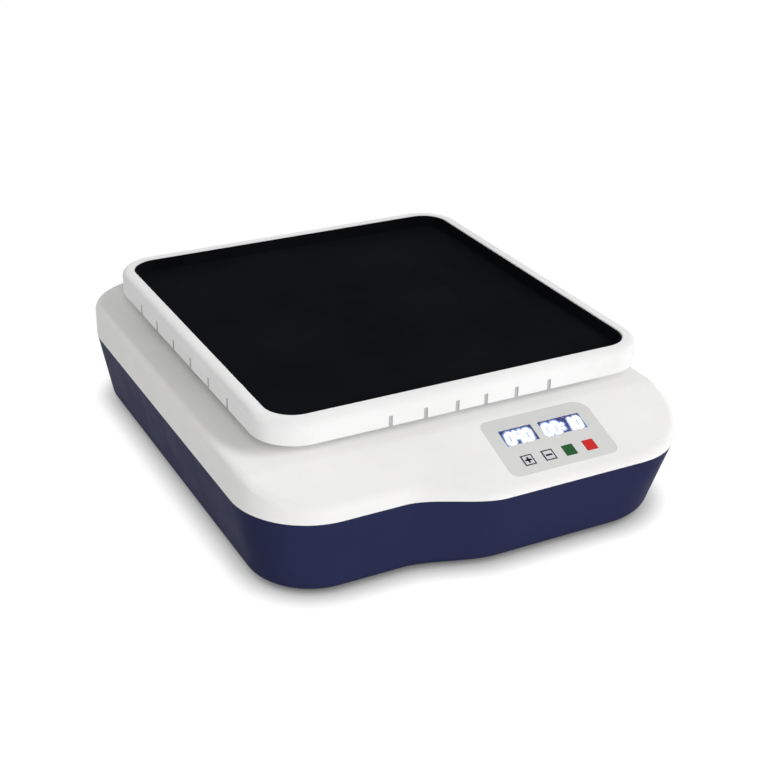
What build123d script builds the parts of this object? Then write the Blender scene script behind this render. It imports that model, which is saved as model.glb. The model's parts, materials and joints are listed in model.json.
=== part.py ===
from build123d import *
import math
import os

os.makedirs("parts", exist_ok=True)

# Rocking shaker. Millimetres, +Z up, X to the right, Y to the back.
# The origin is on the bench, under the middle of the housing and of the tray.

# Housing form: a drafted tub under a shell cover, with a front that steps out in an S-curve
housing_width = 283.6
housing_depth = 353.2
front_step = 19.4
bend_start = -55.0
bend_end = 2.0
left_front_radius = 48.0
right_front_radius = 45.0
rear_radius = 46.0
tub_bottom = 2.5
cover_front_band = 4.0
ramp_rise = 18.4
skirt_gap = 17.2
side_draft = 7.0
rear_draft = 8.0
left_front_draft = 0.8
bulge_draft = 8.4
left_front_radius_loss = 8.0
right_front_radius_gain = 7.0
tub_wall = 2.8
tub_edge_radius = 6.0
cover_wall = 2.6
cover_edge_radius = 5.0
cover_inner_share = 0.6
ramp_angle = 19.0
ramp_blend_radius = 16.0
lip_depth = 3.0
lip_thickness = 1.4
lip_clearance = 0.7
deck_opening_radius = 2.0
collar_wall = 1.6
collar_height = 0.9

# Tray, its liner and its carrier
tray_width = 256.8
tray_depth = 270.0
tray_rim_height = 103.2
tray_skirt_height = 15.6
tray_corner_radius = 27.0
tray_edge_radius = 4.5
tray_wall = 2.4
tray_floor = 3.0
rim_width = 8.3
rim_inner_radius = 18.0
rim_edge_radius = 0.8
liner_recess = 8.5
liner_thickness = 1.8
liner_wall = 1.4
liner_clearance = 0.3
liner_rest_gap = 0.2
liner_top_gap = 0.4
liner_edge_radius = 0.5
notch_width = 2.6
notch_height = 6.6
front_notches = (9.6, 30.5, 53.3)
side_notches = (14.9, 44.8, 74.7)
carrier_width = 190.0
carrier_depth = 232.0
carrier_thickness = 2.0
carrier_corner_radius = 12.0
carrier_window_xs = (-71.0, -33.0, 33.0, 71.0)
carrier_window_y = 53.0
carrier_window_width = 28.0
carrier_window_depth = 70.0
carrier_window_radius = 6.0
tray_screw_side_margin = 15.0
tray_screw_end_margin = 16.0

# Rocking axis and its bearings
pivot_drop = 8.4
rock_limit = 7.0
shaft_diameter = 8.0
shaft_overhang = 6.0
shaft_chamfer = 0.5
stand_y = 100.0
stand_thickness = 5.0
stand_foot_depth = 24.0
stand_foot_width = 60.0
stand_foot_thickness = 4.0
stand_web_width = 46.0
stand_hole_diameter = 16.0
stand_hole_rise = 20.0
stand_gusset_x = 14.0
stand_gusset_thickness = 4.0
stand_gusset_height = 14.0
stand_gusset_margin = 2.0
stand_screw_x = 24.0
stand_screw_setback = 12.0
stand_crown_radius = 7.6
bearing_outer_diameter = 12.0
bearing_width = 3.5
bearing_flange_diameter = 13.6
bearing_flange_thickness = 0.8
bearing_inner_ring = 0.9
bearing_outer_ring = 0.6
bearing_groove_depth = 0.25
clamp_width = 24.0
clamp_depth = 14.0
clamp_y = 72.0
clamp_crown_radius = 6.2
ring_thickness = 0.8
ring_wall = 2.0
ring_groove = 0.5
ring_gap = 0.3
ring_slot_share = 0.6
clamp_pin_diameter = 2.5
clamp_pin_length = 12.0
clamp_pin_depth = 0.9
clamp_pin_chamfer = 0.3
clamp_screw_x = 8.5
clamp_flange_thickness = 4.0

# Crank drive under the deck
crank_disc_radius = 13.0
crank_disc_thickness = 8.0
crank_disc_chamfer = 0.6
crank_pin_diameter = 4.0
roller_diameter = 13.0
roller_width = 5.0
roller_side_gap = 1.0
roller_end_gap = 0.1
roller_chamfer = 0.4
lever_thickness = 5.0
lever_rim = 5.5
lever_web_width = 18.0
lever_slot_play = 1.1
lever_flange_width = 44.0
lever_flange_depth = 16.0
lever_flange_thickness = 3.5
lever_screw_x = 15.0
lever_shoulder_drop = 21.5
lever_window_drop = 11.5
lever_window_length = 12.0
lever_window_width = 6.0
gearbox_gap = 6.9
gearbox_drop = 2.4
gearbox_length = 26.0
gearbox_offset = 7.0
gearbox_boss_diameter = 12.0
gearbox_boss_length = 6.0
gearbox_bore_depth = 5.0
gearbox_screw_grip = 4.0
motor_inset = 1.25
motor_edge_radius = 2.0
motor_length = 33.0
motor_shaft_diameter = 6.0
motor_shaft_flat = 2.5
motor_shaft_front = 4.5
motor_shaft_back = 30.0
set_screw_length = 5.0
set_screw_hex_share = 0.27
pin_shoulder_wall = 1.0
clip_wall = 1.6
motor_front = 20.0
bracket_thickness = 3.0
bracket_side_margin = 4.5
bracket_margin = 3.0
bracket_chamfer = 9.0
bracket_foot_radius = 1.0
bracket_foot_depth = 27.0
bracket_screw_margin = 6.0
bracket_screw_ys = (28.0, 40.0)
gearbox_screw_inset = 3.0
gearbox_screw_angles = (30, 150, 210, 330)
motor_cap_length = 4.0
motor_cap_share = 0.7
terminal_x = 8.0
terminal_thickness = 0.8
terminal_width = 5.0

# Chassis
chassis_width = 190.0
chassis_depth = 250.0
chassis_thickness = 2.0
chassis_height = 12.0
chassis_window_width = 56.0
chassis_window_depth = 24.0
chassis_window_radius = 3.0
chassis_corner_radius = 8.0
chassis_flange_height = 5.0
chassis_flange_setback = 14.0
chassis_screw_length = 7.0
chassis_boss_margin = 11.0

# Driver board
driver_place = (-58.0, 57.0)
driver_width = 56.0
driver_depth = 70.0
driver_hole_x = 22.0
driver_hole_y = 29.0
standoff_height = 6.0
standoff_diameter = 6.0
driver_plug_x = 8.0
driver_plug_y = -29.0
driver_plug_width = 12.0
driver_plug_depth = 6.0
driver_header_y = 28.0
driver_header_width = 20.0
driver_header_depth = 7.0
driver_connector_height = 7.0
driver_connector_radius = 0.6
capacitor_place = (-14.0, 8.0)
capacitor_diameter = 10.0
capacitor_height = 14.0
capacitor_edge_radius = 0.8
heatsink_place = (12.0, 4.0)
heatsink_width = 14.0
heatsink_depth = 22.0
heatsink_base = 3.0
heatsink_fin_count = 5
heatsink_fin_pitch = 3.0
heatsink_fin_thickness = 1.2
heatsink_fin_height = 9.0

# Fasteners and fits
m3_diameter = 3.0
m3_head_diameter = 5.6
m3_head_height = 2.2
m4_diameter = 4.0
m4_head_diameter = 7.6
m4_head_height = 2.3
running_clearance = 0.02
slip_clearance = 0.15
free_clearance = 0.3
deck_opening_margin = 3.0
pan_edge_share = 0.2
pan_hex_share = 0.42
pan_hex_depth_share = 0.6
flush_hex_share = 0.38
flush_hex_depth_share = 0.7
screw_projection = 1.0
bore_margin = 1.0
cast_corner_radius = 2.0
board_corner_radius = 2.0

# Control panel on the ramp: places are measured across (x) and up the slope from the front edge
panel_left = 10.3
panel_right = 85.0
panel_low = 8.6
panel_high = 53.8
panel_radius = 5.5
panel_far_radius = 9.5
overlay_thickness = 0.5
overlay_gap = 0.15
panel_cut_radius = 0.3
window_height = 12.6
window_slope = 38.2
speed_window_x = 30.4
speed_window_width = 22.6
time_window_x = 61.2
time_window_width = 29.4
key_slope = 18.6
key_width = 7.5
key_length = 8.0
key_corner = 0.6
key_xs = {"plus": 25.8, "minus": 40.1, "start": 54.6, "stop": 69.2}
key_pad_thickness = 0.9
key_proud = 0.2
key_gap = 0.2
key_stem_diameter = 3.2
key_stem_engagement = 0.4
switch_block_size = 6.0
switch_block_height = 3.5
switch_well_depth = 1.5
board_depth = 8.5
board_thickness = 1.6
board_margin = 3.5
board_left_margin = 2.7
board_right_margin = 1.5
board_low_margin = 2.4
board_high_margin = 2.6
board_bore_depth = 5.0
board_screw_grip = 4.5
display_height = 14.0
display_drop = 0.1
board_boss_diameter = 5.5
m2_diameter = 2.5
m2_head_diameter = 4.6
m2_head_height = 1.8

# Rear fittings
rear_fitting_height = 22.0
jack_side_margin = 61.8
jack_switch_pitch = 28.0
switch_bezel_length = 21.0
switch_bezel_width = 15.0
switch_bezel_thickness = 1.6
switch_bezel_radius = 1.5
switch_bezel_edge_radius = 0.6
switch_body_length = 18.6
switch_body_width = 12.6
switch_body_depth = 15.0
switch_rocker_width = 9.0
switch_tilt = 9.0
jack_diameter = 11.0
jack_bezel_diameter = 14.0
jack_bore_diameter = 6.4
jack_pin_diameter = 2.1
jack_length = 16.0
jack_bezel_thickness = 1.5
jack_bezel_edge_radius = 0.5
jack_bore_depth = 10.0
jack_pin_start = 0.5
jack_pin_root = 2.0
jack_nut_width = 15.0
jack_nut_thickness = 2.5
rocker_pivot_depth = 1.0
rocker_end_radius = 7.8
rocker_end_gap = 0.2
rocker_end_angle = 20.0
rocker_valley = 1.4
rocker_keel = 3.5
rocker_stub_diameter = 2.4
rocker_stub_reach = 5.6
rocker_well_depth = 8.0

# Feet, posts and floor
foot_diameter = 20.0
foot_seat = 1.5
foot_taper = 6.0
foot_screw_seat = 2.6
foot_screw_length = 6.0
foot_side_margins = {"front_left": 41.8, "front_right": 39.8, "rear": 39.8}
foot_end_margins = {"front_left": 54.6, "front_right": 46.6, "rear": 36.6}
foot_boss_height = 5.0
post_diameter = 12.0
post_meet_drop = 8.0
post_head_depth = 8.0
post_side_margins = {"front": 22.8, "middle": 18.8, "rear": 24.8}
post_end_margins = {"front_left": 80.6, "bend": 38.6, "front_right": 72.6, "rear": 58.6}
post_bend_x = -20.0
post_middle_y = 20.0
post_screw_grip = 10.5
post_bore_depth = 16.0
chassis_boss_diameter = 9.0
vent_length = 36.0
vent_width = 3.0
vent_pitch = 7.0
vent_count = 5
vent_place = (62.0, 62.0)

# Worked out from the sizes above
half_width = housing_width / 2
half_depth = housing_depth / 2
skirt_bottom = tray_rim_height - tray_skirt_height
deck_height = skirt_bottom - skirt_gap
ramp_front_height = deck_height - ramp_rise
parting_height = ramp_front_height - cover_front_band
post_meet_height = parting_height - post_meet_drop
housing_screw_length = post_meet_height - tub_bottom - post_head_depth + post_screw_grip
liner_top = tray_rim_height - liner_top_gap
tray_floor_top = tray_rim_height - liner_recess - liner_thickness
tray_floor_bottom = tray_floor_top - tray_floor
carrier_bottom = tray_floor_bottom - carrier_thickness
pivot_height = carrier_bottom - pivot_drop
tub_floor_top = tub_bottom + tub_wall
chassis_top = chassis_height + chassis_thickness
drive_floor = chassis_top + bracket_thickness
drive_room = deck_height - cover_wall - drive_floor
gearbox_diameter = drive_room - 2 * gearbox_gap
gearbox_height = drive_floor + drive_room / 2 - gearbox_drop
crank_height = gearbox_height - gearbox_offset
crank_drop = pivot_height - crank_height
crank_throw = crank_drop * math.sin(math.radians(rock_limit))
motor_diameter = gearbox_diameter - 2 * motor_inset
bracket_width = gearbox_diameter + 2 * bracket_side_margin
bracket_screw_x = bracket_width / 2 - bracket_screw_margin
bracket_screw_places = tuple((x, y) for y in bracket_screw_ys for x in (-bracket_screw_x, bracket_screw_x))
gearbox_screw_radius = gearbox_diameter / 2 - gearbox_screw_inset
cavity_width = tray_width - 2 * rim_width
cavity_depth = tray_depth - 2 * rim_width
crank_disc_front = roller_width / 2 + roller_side_gap
slot_half_width = roller_diameter / 2 + lever_slot_play
lever_tip_radius = slot_half_width + lever_rim
ramp_tangent = math.tan(math.radians(ramp_angle))
rear_wall_tilt = math.degrees(math.atan(rear_draft / (parting_height - tub_bottom)))
tub_floor_level = 1 - tub_wall / (parting_height - tub_bottom)
lip_inset = tub_wall + lip_clearance + lip_depth * bulge_draft / (parting_height - tub_bottom)
stand_foot_top = chassis_top + stand_foot_thickness
bearing_face = stand_y + stand_thickness / 2 + bearing_flange_thickness
shaft_length = 2 * (bearing_face + ring_gap + ring_thickness + shaft_overhang)
bracket_top = gearbox_height + gearbox_diameter / 2 + bracket_margin
stand_screw_places = tuple(
    (x, side * (stand_y + stand_screw_setback)) for side in (-1, 1) for x in (-stand_screw_x, stand_screw_x)
)
clamp_screw_places = tuple((x, y) for y in (-clamp_y, clamp_y) for x in (-clamp_screw_x, clamp_screw_x))
clamp_pin_places = ((0.0, -clamp_y), (0.0, clamp_y))
clamp_pin_top = carrier_bottom - clamp_pin_depth
lever_screw_places = ((-lever_screw_x, 0.0), (lever_screw_x, 0.0))
ring_places = tuple(side * (bearing_face + ring_gap + ring_thickness / 2) for side in (-1, 1))
crank_disc_back = crank_disc_front + crank_disc_thickness
crank_pin_place = (0.0, crank_height - crank_throw)
gearbox_screw_places = tuple(
    (gearbox_screw_radius * math.cos(math.radians(angle)),
     gearbox_height + gearbox_screw_radius * math.sin(math.radians(angle)))
    for angle in gearbox_screw_angles
)
driver_standoff_places = tuple(
    (driver_place[0] + x, driver_place[1] + y)
    for x in (-driver_hole_x, driver_hole_x) for y in (-driver_hole_y, driver_hole_y)
)
chassis_boss_x = chassis_width / 2 - chassis_boss_margin
chassis_boss_y = chassis_depth / 2 - chassis_boss_margin
chassis_boss_places = tuple(
    (x, y) for x in (-chassis_boss_x, chassis_boss_x) for y in (-chassis_boss_y, 0.0, chassis_boss_y)
)
tray_screw_x = carrier_width / 2 - tray_screw_side_margin
tray_screw_y = carrier_depth / 2 - tray_screw_end_margin
tray_screw_places = tuple(
    (x, y) for y in (-tray_screw_y, tray_screw_y) for x in (-tray_screw_x, tray_screw_x)
)
foot_places = (
    (foot_side_margins["front_left"] - half_width, foot_end_margins["front_left"] - half_depth),
    (half_width - foot_side_margins["front_right"], foot_end_margins["front_right"] - half_depth),
    (foot_side_margins["rear"] - half_width, half_depth - foot_end_margins["rear"]),
    (half_width - foot_side_margins["rear"], half_depth - foot_end_margins["rear"]),
)
post_front_x = half_width - post_side_margins["front"]
post_middle_x = half_width - post_side_margins["middle"]
post_rear_x = half_width - post_side_margins["rear"]
post_rear_y = half_depth - post_end_margins["rear"]
post_places = (
    (-post_front_x, post_end_margins["front_left"] - half_depth),
    (post_bend_x, post_end_margins["bend"] - half_depth),
    (post_front_x, post_end_margins["front_right"] - half_depth),
    (-post_middle_x, post_middle_y), (post_middle_x, post_middle_y),
    (-post_rear_x, post_rear_y), (post_rear_x, post_rear_y),
)
jack_x = half_width - jack_side_margin
switch_x = jack_x - jack_switch_pitch
driver_board_bottom = chassis_top + standoff_height
driver_board_top = driver_board_bottom + board_thickness

panel_plane = Plane(
    origin=(0, -half_depth, ramp_front_height),
    x_dir=(1, 0, 0),
    z_dir=(0, -math.sin(math.radians(ramp_angle)), math.cos(math.radians(ramp_angle))),
)


def rear_wall_plane(height):
    """Plane of the tub's sloping rear wall, seen from behind, with its origin at a height over the bench."""
    run = (parting_height - height) * math.tan(math.radians(rear_wall_tilt))
    tilt = math.radians(rear_wall_tilt)
    normal = (0, math.cos(tilt), -math.sin(tilt))
    return Plane(origin=(0, half_depth - run, height), x_dir=(-1, 0, 0), z_dir=normal)


def rounded_plate(width, depth, radius, height):
    """Rounded rectangle in plan at a height."""
    with BuildSketch(Plane.XY.offset(height)) as plate:
        RectangleRounded(width, depth, radius)
    return plate.sketch


def housing_outline(level, height, inset=0.0):
    """Plan outline of the housing: level 0 is its parting line and level 1 the foot of the drafted tub."""
    x = half_width - side_draft * level - inset
    rear = half_depth - rear_draft * level - inset
    bulge = -(half_depth - bulge_draft * level - inset)
    left = -(half_depth - front_step - left_front_draft * level - inset)
    r_left = left_front_radius - left_front_radius_loss * level - inset
    r_right = right_front_radius + right_front_radius_gain * level - inset
    r_rear = rear_radius - inset
    third = (bend_end - bend_start) / 3
    with BuildSketch(Plane.XY.offset(height)) as outline:
        with BuildLine():
            front_left = CenterArc((-x + r_left, left + r_left), r_left, 180, 90)
            bend = Bezier(
                (bend_start, left), (bend_start + third, left), (bend_end - third, bulge), (bend_end, bulge)
            )
            front_right = CenterArc((x - r_right, bulge + r_right), r_right, 270, 90)
            rear_right = CenterArc((x - r_rear, rear - r_rear), r_rear, 0, 90)
            rear_left = CenterArc((-x + r_rear, rear - r_rear), r_rear, 90, 90)
            Line(front_left @ 1, bend @ 0)
            Line(bend @ 1, front_right @ 0)
            Line(front_right @ 1, rear_right @ 0)
            Line(rear_right @ 1, rear_left @ 0)
            Line(rear_left @ 1, front_left @ 0)
        make_face()
    return outline.sketch


def cover_form(inset):
    """Solid form of the cover: a level deck, the front ramp and a rounded edge all round."""
    deck = deck_height - inset
    ramp_front = ramp_front_height - inset / math.cos(math.radians(ramp_angle))
    ramp_top_y = -half_depth + (deck - ramp_front) / ramp_tangent
    beyond = 5.0
    front = -half_depth - beyond
    with BuildPart() as form:
        extrude(housing_outline(0, parting_height, inset), amount=deck - parting_height)
        with BuildSketch(Plane.YZ) as profile:
            with BuildLine():
                Polyline((front, ramp_front - beyond * ramp_tangent), (ramp_top_y, deck), (half_depth, deck))
                Polyline((half_depth, deck), (half_depth, 0), (front, 0))
                Line((front, 0), (front, ramp_front - beyond * ramp_tangent))
            make_face()
            fillet(profile.vertices().sort_by_distance((ramp_top_y, deck))[0], radius=ramp_blend_radius)
        extrude(amount=housing_width, both=True, mode=Mode.INTERSECT)
        walls = form.faces().filter_by(lambda f: abs(f.normal_at().Z) < 0.05)
        tops = form.faces().filter_by(lambda f: f.normal_at().Z > 0.5)
        fillet(walls.edges() & tops.edges(), radius=cover_edge_radius - inset * cover_inner_share)
    return form.part


def front_plane(y):
    """Upright plane across the housing at a depth, seen from the front: sketch axes are X and Z."""
    return Plane(origin=(0, y, 0), x_dir=(1, 0, 0), z_dir=(0, -1, 0))


def spots(plane, diameter, places):
    """Round spots of one diameter at several places of a plane."""
    with BuildSketch(plane) as found:
        with Locations(*places):
            Circle(diameter / 2)
    return found.sketch


def pan_screws(plane, places, diameter, head_diameter, head_height, length):
    """Pan-head screws seated on a plane with their heads outward, as separate solids."""
    with BuildPart() as group:
        extrude(spots(plane, head_diameter, places), amount=head_height)
        fillet(group.edges().filter_by(GeomType.CIRCLE), radius=head_height * pan_edge_share)
        extrude(spots(plane, diameter, places), amount=-length)
        with BuildSketch(plane.offset(head_height)):
            with Locations(*places):
                RegularPolygon(diameter * pan_hex_share, 6)
        extrude(amount=-head_height * pan_hex_depth_share, mode=Mode.SUBTRACT)
    return group.part


def flush_screws(plane, places, diameter, head_diameter, length):
    """Countersunk screws flush with a plane, as separate solids."""
    cone_height = (head_diameter - diameter) / 2
    with BuildPart() as group:
        extrude(spots(plane, head_diameter, places), amount=-cone_height, taper=45)
        extrude(spots(plane, diameter, places), amount=-length)
        with BuildSketch(plane):
            with Locations(*places):
                RegularPolygon(diameter * flush_hex_share, 6)
        extrude(amount=-cone_height * flush_hex_depth_share, mode=Mode.SUBTRACT)
    return group.part


def panel_outline(grow):
    """Outline of the control overlay on the ramp, with one larger corner at the far right."""
    low, high = panel_low - grow, panel_high + grow
    left, right = panel_left - grow, panel_right + grow
    with BuildSketch(panel_plane) as outline:
        with BuildLine():
            Polyline((left, low), (right, low), (right, high), (left, high), (left, low))
        make_face()
        far = outline.vertices().sort_by_distance((right, high))[0]
        fillet(far, radius=panel_far_radius + grow)
        near = outline.vertices().sort_by_distance((right, high))[2:]
        fillet(near, radius=panel_radius + grow)
    return outline.sketch


def panel_rectangle(depth, x, slope, width, height, radius=panel_cut_radius):
    """Rounded rectangle on the ramp, some way under its surface."""
    with BuildSketch(panel_plane.offset(-depth)) as rectangle:
        with Locations((x, slope)):
            RectangleRounded(width, height, radius)
    return rectangle.sketch


def stand_half_width(height):
    """Half width of a pivot stand's tapering web at a height."""
    share = (pivot_height - height) / (pivot_height - stand_foot_top)
    return stand_crown_radius + (stand_web_width / 2 - stand_crown_radius) * share


# Tub: the drafted lower shell, with screw posts, chassis bosses, foot seats, floor vents and rear openings
rear_plane = rear_wall_plane(rear_fitting_height)
with BuildPart() as tub:
    loft([housing_outline(1, tub_bottom), housing_outline(0, parting_height)], ruled=True)
    fillet(tub.faces().sort_by(Axis.Z)[0].edges(), radius=tub_edge_radius)
    inner_foot = housing_outline(tub_floor_level, tub_floor_top, tub_wall)
    loft([inner_foot, housing_outline(0, parting_height, tub_wall)], ruled=True, mode=Mode.SUBTRACT)
    floor_plane = Plane.XY.offset(tub_floor_top)
    under_plane = Plane.XY.offset(tub_bottom)
    extrude(spots(floor_plane, post_diameter, post_places), amount=post_meet_height - tub_floor_top)
    bosses = spots(floor_plane, chassis_boss_diameter, chassis_boss_places)
    extrude(bosses, amount=chassis_height - tub_floor_top)
    extrude(spots(floor_plane, chassis_boss_diameter, foot_places), amount=foot_boss_height)
    head_bore = m4_head_diameter + 2 * free_clearance
    extrude(spots(under_plane, head_bore, post_places), amount=post_head_depth, mode=Mode.SUBTRACT)
    post_bore = m4_diameter + 2 * slip_clearance
    extrude(spots(under_plane, post_bore, post_places), amount=post_meet_height, mode=Mode.SUBTRACT)
    boss_plane = Plane.XY.offset(chassis_height)
    boss_bore = chassis_screw_length - chassis_thickness + bore_margin
    extrude(spots(boss_plane, m3_diameter, chassis_boss_places), amount=-boss_bore, mode=Mode.SUBTRACT)
    foot_seats = spots(under_plane, foot_diameter + 2 * slip_clearance, foot_places)
    extrude(foot_seats, amount=foot_seat, mode=Mode.SUBTRACT)
    foot_hole_depth = tub_wall + foot_boss_height - bore_margin
    extrude(spots(under_plane, m3_diameter, foot_places), amount=foot_hole_depth, mode=Mode.SUBTRACT)
    with BuildSketch(under_plane):
        with Locations(vent_place):
            with GridLocations(vent_pitch, vent_pitch, vent_count, 1):
                SlotOverall(vent_length, vent_width, rotation=90)
    extrude(amount=tub_wall, mode=Mode.SUBTRACT)
    with BuildSketch(rear_plane.offset(tub_wall)):
        with Locations((-switch_x, 0)):
            Rectangle(switch_body_width + 2 * slip_clearance, switch_body_length + 2 * slip_clearance)
        with Locations((-jack_x, 0)):
            Circle(jack_diameter / 2 + slip_clearance)
    extrude(amount=-3 * tub_wall, mode=Mode.SUBTRACT)

# Cover: the upper shell with its joint lip, deck openings, panel seat, posts and board bosses
lever_opening = (2 * (lever_tip_radius + deck_opening_margin), lever_thickness + 2 * deck_opening_margin)
stand_opening_half = stand_half_width(deck_height - cover_wall) + deck_opening_margin
stand_opening = (2 * stand_opening_half, stand_thickness + 2 * deck_opening_margin)
deck_openings = ((0.0, lever_opening), (-stand_y, stand_opening), (stand_y, stand_opening))
board_left = panel_left + board_left_margin
board_right = panel_right - board_right_margin
board_low = panel_low + board_low_margin
board_high = panel_high - board_high_margin
board_screw_places = tuple(
    (x, slope) for x in (board_left + board_margin, board_right - board_margin)
    for slope in (board_low + board_margin, board_high - board_margin)
)
key_places = tuple((x, key_slope) for x in key_xs.values())
windows = {"speed": (speed_window_x, speed_window_width), "time": (time_window_x, time_window_width)}

with BuildPart() as cover_posts:
    posts = spots(Plane.XY.offset(parting_height), post_diameter, post_places)
    extrude(posts, amount=deck_height - parting_height)
    add(cover_form(cover_wall / 2), mode=Mode.INTERSECT)
    meet_plane = Plane.XY.offset(post_meet_height)
    extrude(spots(meet_plane, post_diameter, post_places), amount=parting_height - post_meet_height)

with BuildPart() as top_cover:
    add(cover_form(0))
    add(cover_form(cover_wall), mode=Mode.SUBTRACT)
    extrude(housing_outline(0, parting_height, cover_wall / 2), amount=lip_thickness)
    extrude(housing_outline(0, parting_height - lip_depth, lip_inset), amount=lip_depth)
    lip_inner = housing_outline(0, parting_height - lip_depth, lip_inset + lip_thickness)
    extrude(lip_inner, amount=lip_depth + lip_thickness, mode=Mode.SUBTRACT)
    add(cover_posts.part)
    collar_plane = Plane.XY.offset(deck_height)
    collar_radius = deck_opening_radius + collar_wall
    with BuildSketch(collar_plane):
        for y, (width, depth) in deck_openings:
            with Locations((0, y)):
                RectangleRounded(width + 2 * collar_wall, depth + 2 * collar_wall, collar_radius)
    extrude(amount=collar_height)
    with BuildSketch(collar_plane.offset(collar_height)):
        for y, (width, depth) in deck_openings:
            with Locations((0, y)):
                RectangleRounded(width, depth, deck_opening_radius)
    extrude(amount=-(collar_height + 2 * cover_wall), mode=Mode.SUBTRACT)
    extrude(panel_outline(overlay_gap), amount=-overlay_thickness, mode=Mode.SUBTRACT)
    boss_foot = panel_plane.offset(-board_depth)
    extrude(spots(boss_foot, board_boss_diameter, board_screw_places), amount=board_depth - cover_wall / 2)
    extrude(spots(boss_foot, m2_diameter, board_screw_places), amount=board_bore_depth, mode=Mode.SUBTRACT)
    display_opening_height = display_height + 2 * slip_clearance
    for x, width in windows.values():
        opening = panel_rectangle(0, x, window_slope, width + 2 * slip_clearance, display_opening_height)
        extrude(opening, amount=-2 * cover_wall, mode=Mode.SUBTRACT)
    key_opening = (key_width + 2 * free_clearance, key_length + 2 * free_clearance)
    for x, slope in key_places:
        opening = panel_rectangle(0, x, slope, *key_opening)
        extrude(opening, amount=-2 * cover_wall, mode=Mode.SUBTRACT)
    extrude(spots(meet_plane, m4_diameter, post_places), amount=post_bore_depth, mode=Mode.SUBTRACT)

# Control overlay with its windows and keys
with BuildPart() as control_overlay:
    extrude(panel_outline(0), amount=-overlay_thickness)
    for x, width in windows.values():
        opening = panel_rectangle(0, x, window_slope, width, window_height)
        extrude(opening, amount=-overlay_thickness, mode=Mode.SUBTRACT)
    for x, slope in key_places:
        opening = panel_rectangle(0, x, slope, key_width + 2 * key_gap, key_length + 2 * key_gap, key_corner)
        extrude(opening, amount=-overlay_thickness, mode=Mode.SUBTRACT)


def make_window(x, width):
    """Clear window of the overlay over one display."""
    with BuildPart() as window:
        extrude(panel_rectangle(0, x, window_slope, width, window_height), amount=-overlay_thickness)
    return window.part


def make_display(x, width):
    """Numeric display module, from the board up to just under its window."""
    with BuildPart() as display:
        module = panel_rectangle(board_depth, x, window_slope, width, display_height)
        extrude(module, amount=board_depth - overlay_thickness - display_drop)
    return display.part


def make_key(x):
    """Key: a thin pad in the overlay with a stem that reaches into its switch block."""
    stem_end = board_depth - switch_block_height + key_stem_engagement
    pad_bottom = key_pad_thickness - key_proud
    with BuildPart() as key:
        pad = panel_rectangle(pad_bottom, x, key_slope, key_width, key_length, key_corner)
        extrude(pad, amount=key_pad_thickness)
        fillet(key.faces().sort_by(Axis.Z)[-1].edges(), radius=key_proud / 2)
        stem = spots(panel_plane.offset(-stem_end), key_stem_diameter, [(x, key_slope)])
        extrude(stem, amount=stem_end - pad_bottom)
    return key.part


with BuildPart() as control_board:
    board_x = (board_left + board_right) / 2
    board_slope = (board_low + board_high) / 2
    board_depth_below = board_depth + board_thickness
    board_size = (board_right - board_left, board_high - board_low)
    board = panel_rectangle(board_depth_below, board_x, board_slope, *board_size, board_corner_radius)
    extrude(board, amount=board_thickness)
    holes = spots(panel_plane.offset(-board_depth), m2_diameter + 2 * slip_clearance, board_screw_places)
    extrude(holes, amount=-board_thickness, mode=Mode.SUBTRACT)

with BuildPart() as key_switches:
    with BuildSketch(panel_plane.offset(-board_depth)):
        with Locations(*key_places):
            Rectangle(switch_block_size, switch_block_size)
    extrude(amount=switch_block_height)
    well_plane = panel_plane.offset(switch_block_height - board_depth)
    wells = spots(well_plane, key_stem_diameter + 2 * free_clearance, key_places)
    extrude(wells, amount=-switch_well_depth, mode=Mode.SUBTRACT)

board_under = Plane(
    origin=panel_plane.offset(-board_depth_below).origin, x_dir=panel_plane.x_dir, z_dir=-panel_plane.z_dir
)
board_screws = pan_screws(
    board_under, [(x, -slope) for x, slope in board_screw_places],
    m2_diameter, m2_head_diameter, m2_head_height, board_thickness + board_screw_grip,
)


def ring_section(y, place, outer, inner):
    """Flat ring in an upright plane, centred on a place given by X and Z."""
    with BuildSketch(front_plane(y)) as section:
        with Locations(place):
            Circle(outer)
            Circle(inner, mode=Mode.SUBTRACT)
    return section.sketch


def motor_shaft_section(y):
    """D-shaped section of the motor's output shaft, its flat upward at rest."""
    with BuildSketch(front_plane(y)) as section:
        with Locations((0, crank_height)):
            Circle(motor_shaft_diameter / 2)
        with Locations((0, crank_height + motor_shaft_flat + motor_shaft_diameter / 2)):
            Rectangle(motor_shaft_diameter, motor_shaft_diameter, mode=Mode.SUBTRACT)
    return section.sketch


def plane_below(height):
    """Level plane seen from under it: places on it are given as (x, -y)."""
    return Plane(origin=(0, 0, height), x_dir=(1, 0, 0), z_dir=(0, 0, -1))


# Chassis: a plate with turned-down flanges on the tub's bosses, open under the crank
with BuildPart() as chassis_plate:
    base_outline = rounded_plate(chassis_width, chassis_depth, chassis_corner_radius, chassis_height)
    extrude(base_outline, amount=chassis_thickness)
    with BuildSketch(Plane.XY.offset(chassis_height)):
        for side in (-1, 1):
            with Locations((side * (chassis_width - chassis_thickness) / 2, 0)):
                Rectangle(chassis_thickness, chassis_depth - 2 * chassis_flange_setback)
    extrude(amount=-chassis_flange_height)
    with BuildSketch(Plane.XY.offset(chassis_top)):
        RectangleRounded(chassis_window_width, chassis_window_depth, chassis_window_radius)
        with Locations(*chassis_boss_places):
            Circle(m3_diameter / 2 + slip_clearance)
        with Locations(*stand_screw_places, *bracket_screw_places, *driver_standoff_places):
            Circle(m3_diameter / 2)
    extrude(amount=-chassis_thickness, mode=Mode.SUBTRACT)
chassis_screws = pan_screws(
    Plane.XY.offset(chassis_top), chassis_boss_places, m3_diameter, m3_head_diameter, m3_head_height,
    chassis_screw_length,
)


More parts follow.
